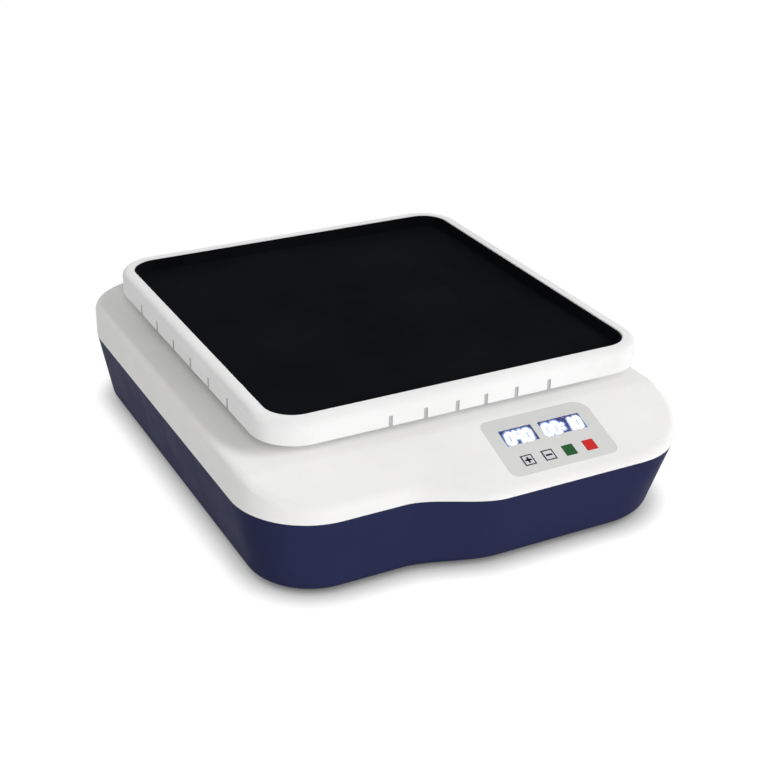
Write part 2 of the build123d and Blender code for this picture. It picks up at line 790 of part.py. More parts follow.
def make_stand(outward):
    """Pivot stand: a foot, a tapering web with a round crown and a bearing seat, and two gussets."""
    y = outward * stand_y
    foot_y = y + outward * (stand_foot_depth - stand_thickness) / 2
    web_foot = stand_web_width / 2
    with BuildPart() as stand:
        with BuildSketch(Plane.XY.offset(chassis_top)):
            with Locations((0, foot_y)):
                RectangleRounded(stand_foot_width, stand_foot_depth, cast_corner_radius)
        extrude(amount=stand_foot_thickness)
        with BuildSketch(front_plane(y + stand_thickness / 2)):
            with BuildLine():
                CenterArc((0, pivot_height), stand_crown_radius, 0, 180)
                Polyline(
                    (-stand_crown_radius, pivot_height), (-web_foot, stand_foot_top), (-web_foot, chassis_top),
                    (web_foot, chassis_top), (web_foot, stand_foot_top), (stand_crown_radius, pivot_height),
                )
            make_face()
            with Locations((0, chassis_top + stand_hole_rise)):
                Circle(stand_hole_diameter / 2, mode=Mode.SUBTRACT)
            with Locations((0, pivot_height)):
                Circle(bearing_outer_diameter / 2, mode=Mode.SUBTRACT)
        extrude(amount=stand_thickness)
        near = y + outward * stand_thickness / 2
        far = near + outward * (stand_foot_depth - stand_thickness - stand_gusset_margin)
        for side in (-1, 1):
            with BuildSketch(Plane.YZ.offset(side * stand_gusset_x - stand_gusset_thickness / 2)):
                with BuildLine():
                    Polyline(
                        (near, stand_foot_top), (far, stand_foot_top),
                        (near, stand_foot_top + stand_gusset_height), (near, stand_foot_top),
                    )
                make_face()
            extrude(amount=stand_gusset_thickness)
        screws_here = [place for place in stand_screw_places if place[1] * outward > 0]
        holes = spots(Plane.XY.offset(stand_foot_top), m3_diameter + 2 * slip_clearance, screws_here)
        extrude(holes, amount=-stand_foot_thickness, mode=Mode.SUBTRACT)
    return stand.part


def make_bearing(outward):
    """Flanged ball bearing, with a groove on each face between its two rings."""
    seat_face = outward * (stand_y + stand_thickness / 2)
    inside = seat_face - outward * bearing_width
    face = seat_face + outward * bearing_flange_thickness
    bore = pivot_height + shaft_diameter / 2 + running_clearance
    outer = pivot_height + bearing_outer_diameter / 2
    flange = pivot_height + bearing_flange_diameter / 2
    groove_low = bore + bearing_inner_ring
    groove_high = outer - bearing_outer_ring
    groove_depth = outward * bearing_groove_depth
    with BuildPart() as bearing:
        with BuildSketch(Plane.YZ):
            with BuildLine():
                Polyline(
                    (inside, bore), (inside, groove_low), (inside + groove_depth, groove_low),
                    (inside + groove_depth, groove_high), (inside, groove_high), (inside, outer),
                    (seat_face, outer), (seat_face, flange), (face, flange), (face, groove_high),
                    (face - groove_depth, groove_high), (face - groove_depth, groove_low), (face, groove_low),
                    (face, bore), (inside, bore),
                )
            make_face()
        revolve(axis=Axis((0, 0, pivot_height), (0, 1, 0)))
    return bearing.part


stand_screws = pan_screws(
    Plane.XY.offset(stand_foot_top), stand_screw_places, m3_diameter, m3_head_diameter, m3_head_height,
    stand_foot_thickness + chassis_thickness + screw_projection,
)


# Rocking shaft with its retaining rings and pins
shaft_place = (0.0, pivot_height)
shaft_radius = shaft_diameter / 2
pin_spots = spots(Plane.XY.offset(clamp_pin_top), clamp_pin_diameter, clamp_pin_places)
with BuildPart() as pivot_shaft:
    extrude(spots(front_plane(shaft_length / 2), shaft_diameter, [shaft_place]), amount=shaft_length)
    chamfer(pivot_shaft.edges().filter_by(GeomType.CIRCLE), length=shaft_chamfer)
    for ring_y in ring_places:
        groove_face = ring_y + ring_thickness / 2
        groove = ring_section(groove_face, shaft_place, shaft_radius, shaft_radius - ring_groove)
        extrude(groove, amount=ring_thickness, mode=Mode.SUBTRACT)
    extrude(pin_spots, amount=-2 * clamp_pin_length, mode=Mode.SUBTRACT)
with BuildPart() as shaft_rings:
    for ring_y in ring_places:
        ring_face = ring_y + ring_thickness / 2
        ring = ring_section(ring_face, shaft_place, shaft_radius + ring_wall, shaft_radius - ring_groove)
        extrude(ring, amount=ring_thickness)
        with BuildSketch(front_plane(ring_face)):
            with Locations((0, pivot_height + shaft_radius)):
                Rectangle(shaft_diameter * ring_slot_share, shaft_diameter)
        extrude(amount=ring_thickness, mode=Mode.SUBTRACT)
with BuildPart() as clamp_pins:
    extrude(pin_spots, amount=-clamp_pin_length)
    chamfer(clamp_pins.edges().filter_by(GeomType.CIRCLE), length=clamp_pin_chamfer)


def make_clamp(side):
    """Shaft clamp: a flange under the carrier that narrows to a round crown about the shaft."""
    y = side * clamp_y
    half = clamp_width / 2
    flange_foot = carrier_bottom - clamp_flange_thickness
    with BuildPart() as clamp:
        with BuildSketch(front_plane(y + clamp_depth / 2)):
            with BuildLine():
                CenterArc(shaft_place, clamp_crown_radius, 180, 180)
                Polyline(
                    (clamp_crown_radius, pivot_height), (clamp_crown_radius, flange_foot), (half, flange_foot),
                    (half, carrier_bottom), (-half, carrier_bottom), (-half, flange_foot),
                    (-clamp_crown_radius, flange_foot), (-clamp_crown_radius, pivot_height),
                )
            make_face()
            with Locations(shaft_place):
                Circle(shaft_radius, mode=Mode.SUBTRACT)
        extrude(amount=clamp_depth)
        screws_here = [place for place in clamp_screw_places if place[1] * side > 0]
        holes = spots(Plane.XY.offset(carrier_bottom), m3_diameter, screws_here)
        extrude(holes, amount=-clamp_flange_thickness, mode=Mode.SUBTRACT)
        pin_hole = spots(Plane.XY.offset(carrier_bottom), clamp_pin_diameter, [(0, y)])
        extrude(pin_hole, amount=-2 * clamp_pin_length, mode=Mode.SUBTRACT)
    return clamp.part


# Carrier plate, countersunk on top under the tray
with BuildPart() as carrier_plate:
    carrier_outline = rounded_plate(carrier_width, carrier_depth, carrier_corner_radius, carrier_bottom)
    extrude(carrier_outline, amount=carrier_thickness)
    with BuildSketch(Plane.XY.offset(tray_floor_bottom)):
        with Locations(*((x, side * carrier_window_y) for x in carrier_window_xs for side in (-1, 1))):
            RectangleRounded(carrier_window_width, carrier_window_depth, carrier_window_radius)
        with Locations(*tray_screw_places):
            Circle(m4_diameter / 2)
    extrude(amount=-carrier_thickness, mode=Mode.SUBTRACT)
    with Locations(*((x, y, tray_floor_bottom) for x, y in clamp_screw_places + lever_screw_places)):
        CounterSinkHole(
            m3_diameter / 2 + slip_clearance, m3_head_diameter / 2 + slip_clearance, counter_sink_angle=90
        )
carrier_screws = flush_screws(
    Plane.XY.offset(tray_floor_bottom), clamp_screw_places + lever_screw_places, m3_diameter, m3_head_diameter,
    carrier_thickness + lever_flange_thickness,
)

# Drive lever: flanged to the carrier, clamped on the shaft, slotted for the crank's roller
slot_low = crank_height - crank_throw
slot_high = crank_height + crank_throw
lever_shoulder = pivot_height - lever_shoulder_drop
with BuildPart() as drive_lever:
    with BuildSketch(Plane.XY.offset(carrier_bottom)):
        RectangleRounded(lever_flange_width, lever_flange_depth, cast_corner_radius)
    extrude(amount=-lever_flange_thickness)
    with BuildSketch(front_plane(lever_thickness / 2)):
        with BuildLine():
            half_web = lever_web_width / 2
            Polyline(
                (lever_tip_radius, slot_low), (lever_tip_radius, slot_high), (half_web, lever_shoulder),
                (half_web, carrier_bottom), (-half_web, carrier_bottom), (-half_web, lever_shoulder),
                (-lever_tip_radius, slot_high), (-lever_tip_radius, slot_low),
            )
            CenterArc((0, slot_low), lever_tip_radius, 180, 180)
        make_face()
        with Locations((0, crank_height)):
            SlotCenterToCenter(slot_high - slot_low, 2 * slot_half_width, rotation=90, mode=Mode.SUBTRACT)
        with Locations((0, pivot_height - lever_window_drop)):
            SlotOverall(lever_window_length, lever_window_width, rotation=90, mode=Mode.SUBTRACT)
        with Locations(shaft_place):
            Circle(shaft_radius, mode=Mode.SUBTRACT)
    extrude(amount=lever_thickness)
    lever_holes = spots(Plane.XY.offset(carrier_bottom), m3_diameter, lever_screw_places)
    extrude(lever_holes, amount=-lever_flange_thickness, mode=Mode.SUBTRACT)

# Crank with its pin at the bottom: disc, set screw, shouldered pin, roller and clip
pin_radius = crank_pin_diameter / 2
clip_face = -roller_width / 2
pin_end = clip_face - 2 * ring_thickness
with BuildPart() as crank_disc:
    disc_spot = spots(front_plane(crank_disc_back), 2 * crank_disc_radius, [(0, crank_height)])
    extrude(disc_spot, amount=crank_disc_thickness)
    chamfer(crank_disc.edges().filter_by(GeomType.CIRCLE), length=crank_disc_chamfer)
    extrude(motor_shaft_section(crank_disc_back), amount=crank_disc_thickness, mode=Mode.SUBTRACT)
    pin_hole = spots(front_plane(crank_disc_back), crank_pin_diameter, [crank_pin_place])
    extrude(pin_hole, amount=crank_disc_thickness, mode=Mode.SUBTRACT)
    set_screw_place = (0.0, crank_disc_back - crank_disc_thickness / 2)
    screw_hole = spots(Plane.XY.offset(crank_height + crank_disc_radius), m3_diameter, [set_screw_place])
    extrude(screw_hole, amount=-crank_disc_radius, mode=Mode.SUBTRACT)
with BuildPart() as crank_set_screw:
    screw_foot = Plane.XY.offset(crank_height + motor_shaft_flat)
    extrude(spots(screw_foot, m3_diameter, [set_screw_place]), amount=set_screw_length)
    with BuildSketch(screw_foot.offset(set_screw_length)):
        with Locations(set_screw_place):
            RegularPolygon(m3_diameter * set_screw_hex_share, 6)
    extrude(amount=-set_screw_length / 3, mode=Mode.SUBTRACT)
with BuildPart() as motor_shaft:
    extrude(motor_shaft_section(motor_shaft_back), amount=motor_shaft_back - motor_shaft_front)
with BuildPart() as crank_pin:
    extrude(pin_hole, amount=crank_disc_back - pin_end)
    shoulder_diameter = crank_pin_diameter + 2 * pin_shoulder_wall
    shoulder = spots(front_plane(crank_disc_front), shoulder_diameter, [crank_pin_place])
    extrude(shoulder, amount=roller_side_gap)
    groove = ring_section(clip_face, crank_pin_place, pin_radius, pin_radius - ring_groove)
    extrude(groove, amount=ring_thickness, mode=Mode.SUBTRACT)
with BuildPart() as crank_pin_clip:
    clip = ring_section(clip_face, crank_pin_place, pin_radius + clip_wall, pin_radius - ring_groove)
    extrude(clip, amount=ring_thickness)
    with BuildSketch(front_plane(clip_face)):
        with Locations((0, crank_pin_place[1] - pin_radius)):
            Rectangle(crank_pin_diameter * ring_slot_share, crank_pin_diameter)
    extrude(amount=ring_thickness, mode=Mode.SUBTRACT)
with BuildPart() as crank_roller:
    roller_radius = roller_diameter / 2
    roller_face = roller_width / 2 - roller_end_gap
    roller = ring_section(roller_face, crank_pin_place, roller_radius, pin_radius + running_clearance)
    extrude(roller, amount=2 * roller_face)
    roller_rims = crank_roller.edges().filter_by(GeomType.CIRCLE).sort_by(SortBy.RADIUS)[-2:]
    chamfer(roller_rims, length=roller_chamfer)

# Geared motor on its bracket
bracket_front = motor_front - bracket_thickness
gearbox_back = motor_front + gearbox_length
motor_back = gearbox_back + motor_length
gearbox_place = (0.0, gearbox_height)
with BuildPart() as motor_bracket:
    with BuildSketch(front_plane(motor_front)) as bracket_face:
        with Locations((0, (chassis_top + bracket_top) / 2)):
            Rectangle(bracket_width, bracket_top - chassis_top)
        chamfer(bracket_face.vertices().group_by(Axis.Z)[-1], length=bracket_chamfer)
        with Locations((0, crank_height)):
            Circle(gearbox_boss_diameter / 2 + slip_clearance, mode=Mode.SUBTRACT)
        with Locations(*gearbox_screw_places):
            Circle(m3_diameter / 2 + slip_clearance, mode=Mode.SUBTRACT)
    extrude(amount=bracket_thickness)
    with BuildSketch(Plane.XY.offset(chassis_top)):
        with Locations((0, bracket_front + bracket_foot_depth / 2)):
            RectangleRounded(bracket_width, bracket_foot_depth, bracket_foot_radius)
        with Locations(*bracket_screw_places):
            Circle(m3_diameter / 2 + slip_clearance, mode=Mode.SUBTRACT)
    extrude(amount=bracket_thickness)
gearbox_screws = pan_screws(
    front_plane(bracket_front), gearbox_screw_places, m3_diameter, m3_head_diameter, m3_head_height,
    bracket_thickness + gearbox_screw_grip,
)
bracket_screws = pan_screws(
    Plane.XY.offset(chassis_top + bracket_thickness), bracket_screw_places, m3_diameter, m3_head_diameter,
    m3_head_height, bracket_thickness + chassis_thickness + screw_projection,
)
with BuildPart() as gearbox:
    extrude(spots(front_plane(gearbox_back), gearbox_diameter, [gearbox_place]), amount=gearbox_length)
    boss_place = [(0, crank_height)]
    extrude(spots(front_plane(motor_front), gearbox_boss_diameter, boss_place), amount=gearbox_boss_length)
    bore_start = motor_front - gearbox_boss_length
    bore_end = motor_shaft_back + free_clearance
    shaft_bore = spots(front_plane(bore_start), motor_shaft_diameter + 2 * running_clearance, boss_place)
    extrude(shaft_bore, amount=bore_start - bore_end, mode=Mode.SUBTRACT)
    screw_bores = spots(front_plane(motor_front), m3_diameter, gearbox_screw_places)
    extrude(screw_bores, amount=-gearbox_bore_depth, mode=Mode.SUBTRACT)
with BuildPart() as motor_can:
    extrude(spots(front_plane(motor_back), motor_diameter, [gearbox_place]), amount=motor_length)
    fillet(motor_can.edges().filter_by(GeomType.CIRCLE).sort_by(Axis.Y)[-1], radius=motor_edge_radius)
with BuildPart() as motor_end_cap:
    cap_back = motor_back + motor_cap_length
    cap_spot = spots(front_plane(cap_back), motor_diameter * motor_cap_share, [gearbox_place])
    extrude(cap_spot, amount=motor_cap_length)
    with BuildSketch(front_plane(cap_back + motor_cap_length)):
        with Locations((-terminal_x, gearbox_height), (terminal_x, gearbox_height)):
            Rectangle(terminal_thickness, terminal_width)
    extrude(amount=motor_cap_length)

# Driver board on standoffs beside the motor
driver_x, driver_y = driver_place
driver_plane = Plane.XY.offset(driver_board_top)
with BuildPart() as driver_standoffs:
    standoff_foot = Plane.XY.offset(chassis_top)
    extrude(spots(standoff_foot, standoff_diameter, driver_standoff_places), amount=standoff_height)
    standoff_bores = spots(standoff_foot, m3_diameter, driver_standoff_places)
    extrude(standoff_bores, amount=standoff_height, mode=Mode.SUBTRACT)
with BuildPart() as driver_board:
    with BuildSketch(Plane.XY.offset(driver_board_bottom)):
        with Locations(driver_place):
            RectangleRounded(driver_width, driver_depth, board_corner_radius)
        with Locations(*driver_standoff_places):
            Circle(m3_diameter / 2 + slip_clearance, mode=Mode.SUBTRACT)
    extrude(amount=board_thickness)
driver_board_screws = pan_screws(
    driver_plane, driver_standoff_places, m3_diameter, m3_head_diameter, m3_head_height,
    board_thickness + standoff_height,
)
with BuildPart() as driver_connectors:
    with BuildSketch(driver_plane):
        with Locations(*((driver_x + side * driver_plug_x, driver_y + driver_plug_y) for side in (-1, 1))):
            Rectangle(driver_plug_width, driver_plug_depth)
        with Locations((driver_x, driver_y + driver_header_y)):
            Rectangle(driver_header_width, driver_header_depth)
    extrude(amount=driver_connector_height)
    fillet(driver_connectors.edges().filter_by(Axis.Z), radius=driver_connector_radius)
with BuildPart() as driver_capacitor:
    can_place = (driver_x + capacitor_place[0], driver_y + capacitor_place[1])
    extrude(spots(driver_plane, capacitor_diameter, [can_place]), amount=capacitor_height)
    can_edges = driver_capacitor.edges().filter_by(GeomType.CIRCLE)
    fillet(can_edges.sort_by(Axis.Z)[-1], radius=capacitor_edge_radius)
with BuildPart() as driver_heatsink:
    sink_place = (driver_x + heatsink_place[0], driver_y + heatsink_place[1])
    with BuildSketch(driver_plane):
        with Locations(sink_place):
            Rectangle(heatsink_width, heatsink_depth)
    extrude(amount=heatsink_base)
    with BuildSketch(driver_plane.offset(heatsink_base)):
        with Locations(sink_place):
            with GridLocations(heatsink_fin_pitch, heatsink_depth, heatsink_fin_count, 1):
                Rectangle(heatsink_fin_thickness, heatsink_depth)
    extrude(amount=heatsink_fin_height)

# Tray: a moulded plate with a hollow rim, notches through its skirt and a sunk floor
side_plane = Plane(origin=(-tray_width / 2, 0, 0), x_dir=(0, -1, 0), z_dir=(-1, 0, 0))
notch_height_middle = skirt_bottom + notch_height / 2
front_notch_places = tuple((side * x, notch_height_middle) for x in front_notches for side in (-1, 1))
side_notch_places = tuple((side * y, notch_height_middle) for y in side_notches for side in (-1, 1))
with BuildPart() as tray:
    extrude(rounded_plate(tray_width, tray_depth, tray_corner_radius, skirt_bottom), amount=tray_skirt_height)
    fillet(tray.faces().sort_by(Axis.Z)[-1].edges(), radius=tray_edge_radius)
    recess = rounded_plate(cavity_width, cavity_depth, rim_inner_radius, tray_floor_top)
    extrude(recess, amount=tray_rim_height - tray_floor_top, mode=Mode.SUBTRACT)
    rim_face = tray.faces().sort_by(Axis.Z)[-1]
    fillet(rim_face.inner_wires()[0].edges(), radius=rim_edge_radius)
    inside_width = tray_width - 2 * tray_wall
    inside_depth = tray_depth - 2 * tray_wall
    inside_radius = tray_corner_radius - tray_wall
    hollow = rounded_plate(inside_width, inside_depth, inside_radius, skirt_bottom)
    extrude(hollow, amount=tray_floor_bottom - skirt_bottom, mode=Mode.SUBTRACT)
    with BuildSketch(Plane.XY.offset(tray_floor_bottom)):
        RectangleRounded(inside_width, inside_depth, inside_radius)
        RectangleRounded(
            cavity_width + 2 * tray_wall, cavity_depth + 2 * tray_wall, rim_inner_radius + tray_wall,
            mode=Mode.SUBTRACT,
        )
    extrude(amount=tray_rim_height - tray_wall - tray_floor_bottom, mode=Mode.SUBTRACT)
    for notch_plane, places, depth in (
        (front_plane(-tray_depth / 2), front_notch_places, tray_depth),
        (side_plane, side_notch_places, tray_width),
    ):
        for far_side in (0, 1):
            with BuildSketch(notch_plane.offset(-far_side * (depth - tray_wall))):
                with Locations(*places):
                    Rectangle(notch_width, notch_height)
            extrude(amount=-tray_wall, mode=Mode.SUBTRACT)
    with Locations(*((x, y, tray_floor_top) for x, y in tray_screw_places)):
        CounterSinkHole(
            m4_diameter / 2 + slip_clearance, m4_head_diameter / 2 + slip_clearance, counter_sink_angle=90
        )
tray_screws = flush_screws(
    Plane.XY.offset(tray_floor_top), tray_screw_places, m4_diameter, m4_head_diameter,
    tray_floor + carrier_thickness,
)

# Loose liner: a soft mat with upstanding walls that lies in the tray's recess
with BuildPart() as liner:
    liner_width = cavity_width - 2 * liner_clearance
    liner_depth = cavity_depth - 2 * liner_clearance
    liner_bottom = tray_floor_top + liner_rest_gap
    liner_floor_top = tray_floor_top + liner_thickness
    liner_radius = rim_inner_radius - liner_clearance
    mat = rounded_plate(liner_width, liner_depth, liner_radius, liner_bottom)
    extrude(mat, amount=liner_top - liner_bottom)
    hollow = rounded_plate(
        liner_width - 2 * liner_wall, liner_depth - 2 * liner_wall, liner_radius - liner_wall, liner_floor_top
    )
    extrude(hollow, amount=liner_top - liner_floor_top, mode=Mode.SUBTRACT)
    fillet(liner.faces().sort_by(Axis.Z)[-1].edges(), radius=liner_edge_radius)

# Power switch on the rear wall: a bezelled body with a well, and the rocker pressed in at one end
switch_place = (-switch_x, 0.0)
with BuildPart() as power_switch_body:
    with BuildSketch(rear_plane):
        with Locations(switch_place):
            RectangleRounded(switch_bezel_width, switch_bezel_length, switch_bezel_radius)
    extrude(amount=switch_bezel_thickness)
    fillet(power_switch_body.faces().sort_by(Axis.Y)[-1].edges(), radius=switch_bezel_edge_radius)
    with BuildSketch(rear_plane):
        with Locations(switch_place):
            Rectangle(switch_body_width, switch_body_length)
    extrude(amount=-switch_body_depth)
    with BuildSketch(rear_plane.offset(switch_bezel_thickness)):
        with Locations(switch_place):
            Rectangle(switch_rocker_width + 2 * free_clearance, 2 * (rocker_end_radius + rocker_end_gap))
    extrude(amount=-(switch_bezel_thickness + rocker_well_depth), mode=Mode.SUBTRACT)
    pivot_point = rear_plane.offset(-rocker_pivot_depth).from_local_coords((-switch_x, 0, 0))
    with BuildSketch(Plane(origin=pivot_point, x_dir=(0, 0, 1), z_dir=(-1, 0, 0))):
        Circle(rocker_stub_diameter / 2 + slip_clearance / 2)
    extrude(amount=rocker_stub_reach + slip_clearance, both=True, mode=Mode.SUBTRACT)
slope_up = rear_plane.y_dir.rotate(Axis.X, -switch_tilt)
rocker_plane = Plane(origin=pivot_point, x_dir=slope_up, z_dir=(-1, 0, 0))
with BuildPart() as power_switch_rocker:
    with BuildSketch(rocker_plane):
        with BuildLine():
            reach = rocker_end_radius * math.cos(math.radians(rocker_end_angle))
            rise = rocker_end_radius * math.sin(math.radians(rocker_end_angle))
            CenterArc((0, 0), rocker_end_radius, -rocker_end_angle, 2 * rocker_end_angle)
            CenterArc((0, 0), rocker_end_radius, 180 - rocker_end_angle, 2 * rocker_end_angle)
            Polyline((reach, rise), (0, rocker_valley), (-reach, rise))
            Polyline((-reach, -rise), (0, -rocker_keel), (reach, -rise))
        make_face()
    extrude(amount=switch_rocker_width / 2, both=True)
    with BuildSketch(rocker_plane):
        Circle(rocker_stub_diameter / 2)
    extrude(amount=rocker_stub_reach, both=True)

# Power inlet on the rear wall: a round body with its pin, held by a nut inside
jack_place = (-jack_x, 0.0)
wall_thickness = tub_wall * math.cos(math.radians(rear_wall_tilt))
pin_root = jack_bore_depth + jack_pin_root
with BuildPart() as power_jack:
    extrude(spots(rear_plane, jack_bezel_diameter, [jack_place]), amount=jack_bezel_thickness)
    fillet(power_jack.faces().sort_by(Axis.Y)[-1].edges(), radius=jack_bezel_edge_radius)
    extrude(spots(rear_plane, jack_diameter, [jack_place]), amount=-jack_length)
    bore = spots(rear_plane.offset(jack_bezel_thickness), jack_bore_diameter, [jack_place])
    extrude(bore, amount=-(jack_bezel_thickness + jack_bore_depth), mode=Mode.SUBTRACT)
    extrude(spots(rear_plane, jack_pin_diameter, [jack_place]), amount=-pin_root, mode=Mode.SUBTRACT)
with BuildPart() as power_jack_pin:
    pin_spot = spots(rear_plane.offset(-jack_pin_start), jack_pin_diameter, [jack_place])
    extrude(pin_spot, amount=jack_pin_start - pin_root)
with BuildPart() as power_jack_nut:
    with BuildSketch(rear_plane.offset(-wall_thickness - running_clearance)):
        with Locations(jack_place):
            RegularPolygon(jack_nut_width / 2, 6, major_radius=False)
            Circle(jack_diameter / 2, mode=Mode.SUBTRACT)
    extrude(amount=-jack_nut_thickness)

# Feet, and the screws of the feet and of the housing, all from below
foot_screw_places = tuple((x, -y) for x, y in foot_places)
housing_screw_places = tuple((x, -y) for x, y in post_places)
with BuildPart() as feet:
    foot_spots = spots(Plane.XY.offset(tub_bottom), foot_diameter, foot_places)
    extrude(foot_spots, amount=foot_seat)
    extrude(foot_spots, amount=-tub_bottom, taper=foot_taper)
    head_hole = m3_head_diameter + 2 * free_clearance
    extrude(spots(Plane.XY, head_hole, foot_places), amount=foot_screw_seat, mode=Mode.SUBTRACT)
    extrude(spots(Plane.XY, m3_diameter, foot_places), amount=tub_bottom + foot_seat, mode=Mode.SUBTRACT)
foot_screws = pan_screws(
    plane_below(foot_screw_seat), foot_screw_places, m3_diameter, m3_head_diameter, m3_head_height,
    foot_screw_length,
)
housing_screws = pan_screws(
    plane_below(tub_bottom + post_head_depth), housing_screw_places, m4_diameter, m4_head_diameter,
    m4_head_height, housing_screw_length,
)

pieces = {
    "tub": tub.part, "top_cover": top_cover.part, "control_overlay": control_overlay.part,
    "control_board": control_board.part, "key_switches": key_switches.part,
    "control_board_screws": board_screws,
    "chassis_plate": chassis_plate.part, "chassis_screws": chassis_screws, "pivot_stand_screws": stand_screws,
    "pivot_shaft": pivot_shaft.part, "shaft_rings": shaft_rings.part, "clamp_pins": clamp_pins.part,
    "carrier_plate": carrier_plate.part, "carrier_screws": carrier_screws, "drive_lever": drive_lever.part,
    "crank_disc": crank_disc.part, "crank_set_screw": crank_set_screw.part, "motor_shaft": motor_shaft.part,
    "crank_pin": crank_pin.part, "crank_pin_clip": crank_pin_clip.part, "crank_roller": crank_roller.part,
    "motor_bracket": motor_bracket.part, "gearbox_screws": gearbox_screws, "bracket_screws": bracket_screws,
    "gearbox": gearbox.part, "motor_can": motor_can.part, "motor_end_cap": motor_end_cap.part,
    "driver_standoffs": driver_standoffs.part, "driver_board": driver_board.part,
    "driver_board_screws": driver_board_screws, "driver_connectors": driver_connectors.part,
    "driver_capacitor": driver_capacitor.part, "driver_heatsink": driver_heatsink.part,
    "tray": tray.part, "tray_screws": tray_screws, "liner": liner.part,
    "power_switch_body": power_switch_body.part, "power_switch_rocker": power_switch_rocker.part,
    "power_jack": power_jack.part, "power_jack_pin": power_jack_pin.part, "power_jack_nut": power_jack_nut.part,
    "feet": feet.part, "foot_screws": foot_screws, "housing_screws": housing_screws,
}
for end_name, outward in (("front", -1), ("rear", 1)):
    pieces[f"pivot_stand_{end_name}"] = make_stand(outward)
    pieces[f"pivot_bearing_{end_name}"] = make_bearing(outward)
    pieces[f"shaft_clamp_{end_name}"] = make_clamp(outward)
for key_name, key_x in key_xs.items():
    pieces[f"key_{key_name}"] = make_key(key_x)
for window_name, (window_x, window_width) in windows.items():
    pieces[f"{window_name}_window"] = make_window(window_x, window_width)
    pieces[f"{window_name}_display"] = make_display(window_x, window_width)
for name, piece in pieces.items():
    piece.label = name
    export_step(piece, f"parts/{name}.step")
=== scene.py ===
import json
import math

import bpy
from mathutils import Matrix, Vector


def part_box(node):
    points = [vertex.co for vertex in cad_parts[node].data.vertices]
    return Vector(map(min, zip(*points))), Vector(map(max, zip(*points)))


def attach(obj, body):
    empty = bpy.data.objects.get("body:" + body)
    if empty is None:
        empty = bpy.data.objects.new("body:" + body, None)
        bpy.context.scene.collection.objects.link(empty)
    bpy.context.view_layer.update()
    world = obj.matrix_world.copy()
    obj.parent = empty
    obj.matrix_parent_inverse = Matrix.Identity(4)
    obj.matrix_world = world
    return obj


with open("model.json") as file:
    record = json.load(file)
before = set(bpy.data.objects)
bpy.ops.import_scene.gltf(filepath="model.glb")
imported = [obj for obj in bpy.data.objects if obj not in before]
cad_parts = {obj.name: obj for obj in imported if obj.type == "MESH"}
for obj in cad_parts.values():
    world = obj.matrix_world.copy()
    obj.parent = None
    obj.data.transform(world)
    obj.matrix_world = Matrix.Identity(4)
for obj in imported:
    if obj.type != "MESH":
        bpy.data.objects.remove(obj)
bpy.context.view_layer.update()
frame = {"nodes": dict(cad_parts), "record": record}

MM = 0.001

# The photograph's camera: its place, its direction, and its focal length in pixels of an image this wide
IMAGE_WIDTH = 768
SENSOR_WIDTH = 36.0
CLIP_RANGE = (0.05, 50.0)
FOCAL_PIXELS = 1458.47
CAMERA_PLACE = (-0.39768, -0.77698, 0.47954)
CAMERA_AZIMUTH = -27.881
CAMERA_ELEVATION = 26.630
CAMERA_ROLL = 0.962

# Round soft lamps by azimuth (0 in front, 90 on the right), elevation, diameter and watts
LAMP_DISTANCE = 2.2
LAMP_AIM_HEIGHT = 0.05
LAMPS = {
    "beside_camera": (-24, 29, 0.6, 13.4),
    "front_right": (13, 29, 0.6, 17.9),
    "rear": (-160, 30, 1.3, 7.5),
}

# Surroundings and floor: what they give as light, and what the camera sees of them
WORLD_STRENGTH = 0.34
FLOOR_REACH = 6.0
FLOOR_TONE = 0.80
FLOOR_SEEN = 0.12
FLOOR_LIFT = 0.95
# Reach and samples of the painted contact shadow on the floor
CONTACT_REACH = 15 * MM
CONTACT_SAMPLES = 16

# The sloping control panel: its angle, and where its surface starts at the front
RAMP_ANGLE = 19.0
RAMP_FRONT_HEIGHT = 52.0 * MM
OVERLAY_THICKNESS = 0.5 * MM

# Key prints and display digits, across and up the slope
PRINT_LIFT = 0.02 * MM
PRINT_THICKNESS = 0.03 * MM
KEY_WIDTH = 7.5 * MM
KEY_LENGTH = 8.0 * MM
KEY_PROUD = 0.2 * MM
KEY_SLOPE = 18.6 * MM
KEY_LINE = 0.74 * MM
SIGN_LENGTH = 4.5 * MM
SIGN_WIDTH = 1.3 * MM
DISPLAY_SLOPE = 38.2 * MM
DISPLAY_HEIGHT = 12.6 * MM
FACE_STEP = 0.2 * MM
FACE_DEPTH = 0.05 * MM
DIGIT_HEIGHT = 8.4 * MM
DIGIT_DROP = 0.9 * MM
DIGIT_WIDTH = 3.7 * MM
DIGIT_PITCH = 6.1 * MM
DIGIT_SLANT = math.tan(math.radians(8))
STROKE_HALF = 0.44 * MM
GLOW_REACH = 1.0 * MM
COLON_ADVANCE = 0.55
COLON_LEVELS = (0.3, 0.7)

# Display colour by glow, from the dark face to the middle of a stroke, and how strongly the two ends shine
DISPLAY_TONES = (
    (0.09, (0.036, 0.042, 0.130)),
    (0.24, (0.25, 0.30, 0.50)),
    (0.55, (0.62, 0.71, 0.90)),
    (1.0, (1.0, 1.0, 1.0)),
)
DISPLAY_SHINE = (0.55, 1.6)

# Painted shade in the notches of the tray's skirt: grey sheets standing in for the shaded inside of each
# notch, measured in from the skirt's outer face
NOTCH_WIDTH = 2.6 * MM
NOTCH_HEIGHT = 6.6 * MM
FRONT_NOTCHES = (9.6 * MM, 30.5 * MM, 53.3 * MM)
SIDE_NOTCHES = (14.9 * MM, 44.8 * MM, 74.7 * MM)
SHADE_SHEET_START = 0.15 * MM
SHADE_SHEET_END = 0.9 * MM
SHADE_SHEET_THICKNESS = 0.2 * MM
SHADE_SHEET_GAP = 0.02 * MM

